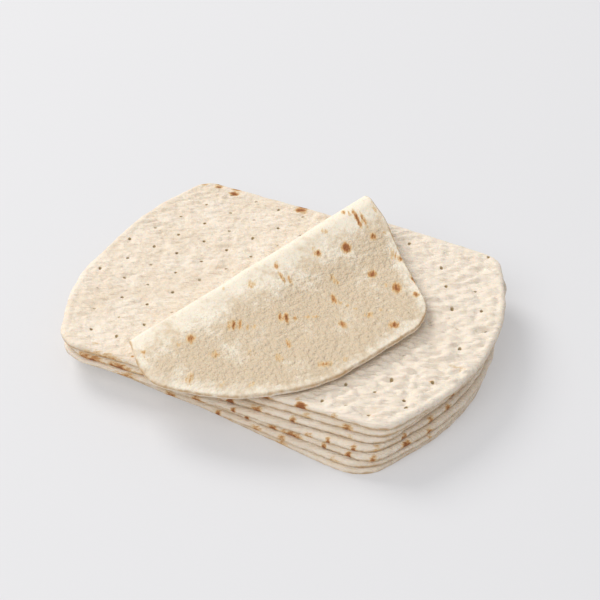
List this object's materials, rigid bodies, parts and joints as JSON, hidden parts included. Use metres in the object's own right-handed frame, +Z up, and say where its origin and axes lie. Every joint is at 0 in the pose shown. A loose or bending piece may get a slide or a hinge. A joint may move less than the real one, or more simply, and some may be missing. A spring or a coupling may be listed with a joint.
{
  "type": "stack of flatbreads",
  "caption": "Stack of oblong baked flatbreads with docker holes and brown spots, the top sheet folded over to show its underside",
  "frame": {"origin": "on the surface the stack lies on, under the middle of its box", "axes": "+X along the sheets' long side, +Y towards the edge where the fold stands highest, +Z up"},
  "size_m": [0.2734, 0.2404, 0.0549],
  "materials": {
    "crumb_folded": "dry baked underside, pale beige with small brown spots",
    "crumb_top": "dry baked upper side, pale cream with fine wrinkles and docker holes",
    "crumb_under": "dry baked bread, pale cream with browned rims"
  },
  "bodies": {
    "root": {"flatbread_1": "crumb_folded", "flatbread_2": "crumb_top", "flatbread_3": "crumb_under", "flatbread_4": "crumb_under", "flatbread_5": "crumb_under", "flatbread_6": "crumb_under", "flatbread_7": "crumb_under"}
  },
  "joints": []
}
